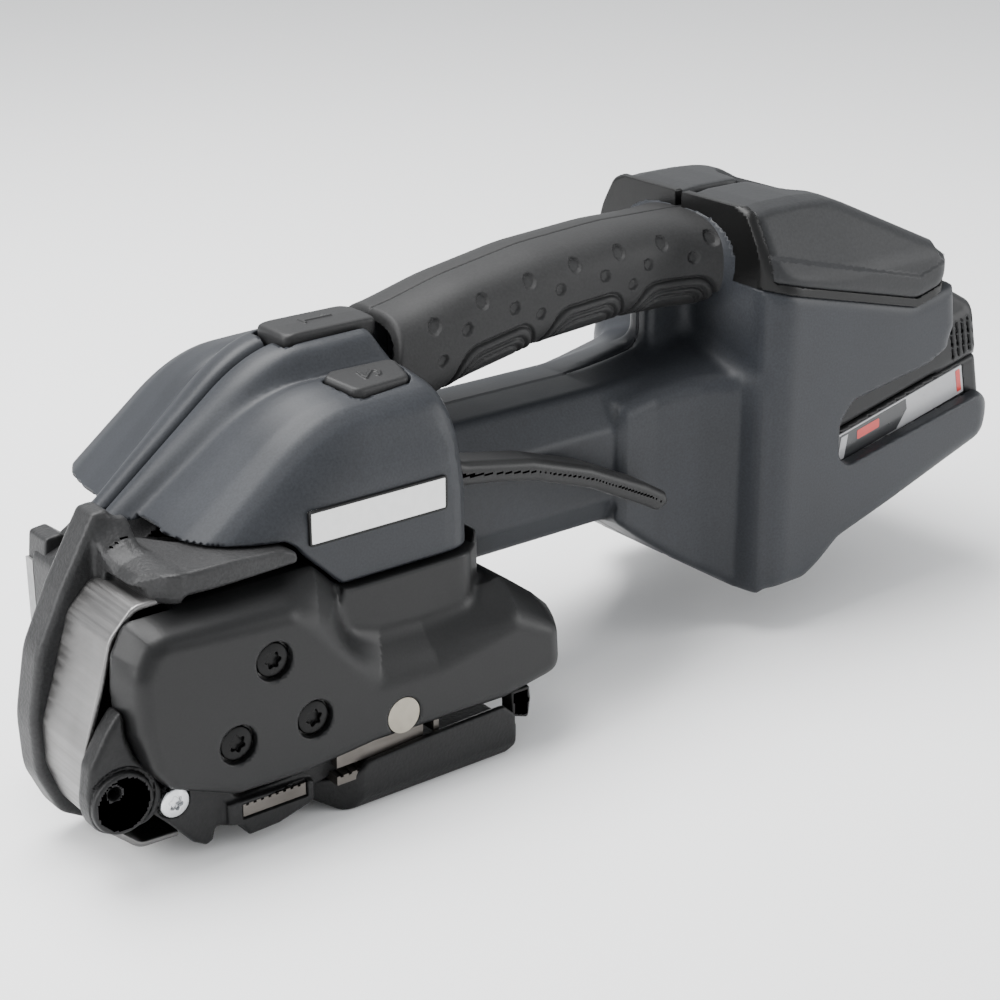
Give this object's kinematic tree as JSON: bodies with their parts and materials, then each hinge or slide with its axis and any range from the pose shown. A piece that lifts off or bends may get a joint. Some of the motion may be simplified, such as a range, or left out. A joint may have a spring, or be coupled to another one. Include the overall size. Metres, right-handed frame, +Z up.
{
  "type": "battery strapping tool",
  "caption": "Hand-held battery tool that tensions, friction-welds and cuts plastic strap, with a lever, push buttons and a slide-in battery.",
  "frame": {"origin": "on the plane the base plate rests on, under the middle of the tool's length and width", "axes": "+X from the front casting to the battery end, +Y to the far side, +Z up"},
  "size_m": [0.3362, 0.108, 0.135],
  "materials": {
    "cast_grey": "sand-cast, satin grey",
    "cast_black": "black coated casting",
    "lid_aluminium": "machined",
    "steel": "brushed",
    "steel_hard": "hardened, dark",
    "steel_bright": "bright zinc",
    "screw_black": "black oxide",
    "cover_black": "fine satin texture",
    "body_grey": "fine satin texture",
    "grip_rubber": "matt, dimpled",
    "button_rubber": "matt",
    "gasket_rubber": "matt",
    "cap_plastic": "coarse spark texture",
    "lever_plastic": "satin",
    "label_white": "semi-gloss",
    "display_glass": "dark glass",
    "board_green": "solder mask",
    "black_plastic": "moulded",
    "copper": "bare",
    "battery_grey": "fine texture",
    "battery_band": "printed film, plain fields",
    "cell_blue": "shrink sleeve"
  },
  "bodies": {
    "tool": {"head_frame": "cast_grey", "gear_case_lid": "lid_aluminium", "base_plate": "cast_black", "base_plate_screws": "screw_black", "weld_plate": "steel_hard", "strap_guard": "steel", "front_arm": "cast_black", "rocker_pin": "steel", "tension_bearings": "steel", "tension_motor_can": "steel", "planetary_gearbox": "steel", "weld_motor_can": "steel", "side_cover": "cover_black", "side_cover_screws": "screw_black", "bearing_plate": "steel", "far_cover": "cover_black", "far_cover_screws": "screw_black", "housing_left": "body_grey", "housing_right": "body_grey", "housing_screws": "screw_black", "grip_left": "grip_rubber", "grip_right": "grip_rubber", "label_plate": "label_white", "lever_pin": "steel", "lever_spring": "steel", "button_1_spring": "steel", "button_1_switch": "black_plastic", "button_2_spring": "steel", "button_2_switch": "black_plastic", "rear_cap": "cap_plastic", "display_window": "display_glass", "display_module": "black_plastic", "cap_gasket": "gasket_rubber", "cap_screws": "steel_bright", "control_board": "board_green", "terminal_block": "black_plastic", "contact_blades": "copper"},
    "rocker": {"rocker_arm": "cast_black", "toothed_plate": "steel_hard", "rocker_screw": "steel_bright"},
    "tension_rotor": {"tension_wheel": "steel_hard", "tension_shaft": "steel", "tension_gear": "steel"},
    "counter": {"countershaft": "steel", "bevel_gear": "steel"},
    "motor_rotor": {"motor_pinion": "steel", "tension_motor_rotor": "steel"},
    "weld_rotor": {"eccentric_shaft": "steel"},
    "jaw": {"weld_jaw": "steel_hard"},
    "cutter": {"cutter_blade": "steel_hard"},
    "lever": {"rocker_lever": "lever_plastic"},
    "button_1_body": {"button_1": "button_rubber"},
    "button_2_body": {"button_2": "button_rubber"},
    "battery": {"battery_case_lower": "battery_grey", "battery_case_upper": "battery_grey", "battery_cells": "cell_blue", "battery_label": "battery_band"},
    "battery_latch": {"release_button": "black_plastic"}
  },
  "joints": [
    {"name": "lever_pull", "type": "hinge", "parent": "tool", "child": "lever", "pos_m": [-0.058, -0.031, 0.083], "axis": [0, -1, 0], "range_deg": [0, 24], "stiffness_Nm_per_rad": 0.6},
    {"name": "rocker_swing", "type": "hinge", "parent": "tool", "child": "rocker", "pos_m": [-0.0792, -0.03, 0.0241], "axis": [0, -1, 0], "range_deg": [0, 4]},
    {"name": "tension_spin", "type": "hinge", "parent": "tool", "child": "tension_rotor", "pos_m": [-0.1178, 0, 0.0384], "axis": [0, 1, 0], "continuous": true},
    {"name": "counter_spin", "type": "hinge", "parent": "tool", "child": "counter", "pos_m": [-0.09367, 0, 0.062], "axis": [0, 1, 0], "continuous": true},
    {"name": "motor_spin", "type": "hinge", "parent": "tool", "child": "motor_rotor", "pos_m": [-0.02, 0, 0.062], "axis": [1, 0, 0], "continuous": true},
    {"name": "weld_spin", "type": "hinge", "parent": "tool", "child": "weld_rotor", "pos_m": [-0.08, 0, 0.046], "axis": [0, 1, 0], "continuous": true},
    {"name": "jaw_press", "type": "slide", "parent": "tool", "child": "jaw", "axis": [0, 0, -1], "range_m": [0, 0.0014], "stiffness_N_per_m": 400},
    {"name": "cutter_stroke", "type": "slide", "parent": "tool", "child": "cutter", "axis": [0, 0, -1], "range_m": [0, 0.003], "stiffness_N_per_m": 200},
    {"name": "button_1_press", "type": "slide", "parent": "tool", "child": "button_1_body", "axis": [0, 0, -1], "range_m": [0, 0.0015], "stiffness_N_per_m": 400, "deforming": ["button_1_spring"]},
    {"name": "button_2_press", "type": "slide", "parent": "tool", "child": "button_2_body", "axis": [0, 0.1736, -0.9848], "range_m": [0, 0.0012], "stiffness_N_per_m": 400, "deforming": ["button_2_spring"]},
    {"name": "battery_slide", "type": "slide", "parent": "tool", "child": "battery", "axis": [0.9781, 0, 0.2079], "range_m": [0, 0.1]},
    {"name": "latch_press", "type": "slide", "parent": "battery", "child": "battery_latch", "axis": [-0.9781, 0, -0.2079], "range_m": [0, 0.0015], "stiffness_N_per_m": 400}
  ],
  "couplings": [
    {"joint": "rocker_swing", "follows": "lever_pull", "ratio": 0.16667},
    {"joint": "counter_spin", "follows": "tension_spin", "ratio": -2.375},
    {"joint": "motor_spin", "follows": "tension_spin", "ratio": 4.75}
  ]
}
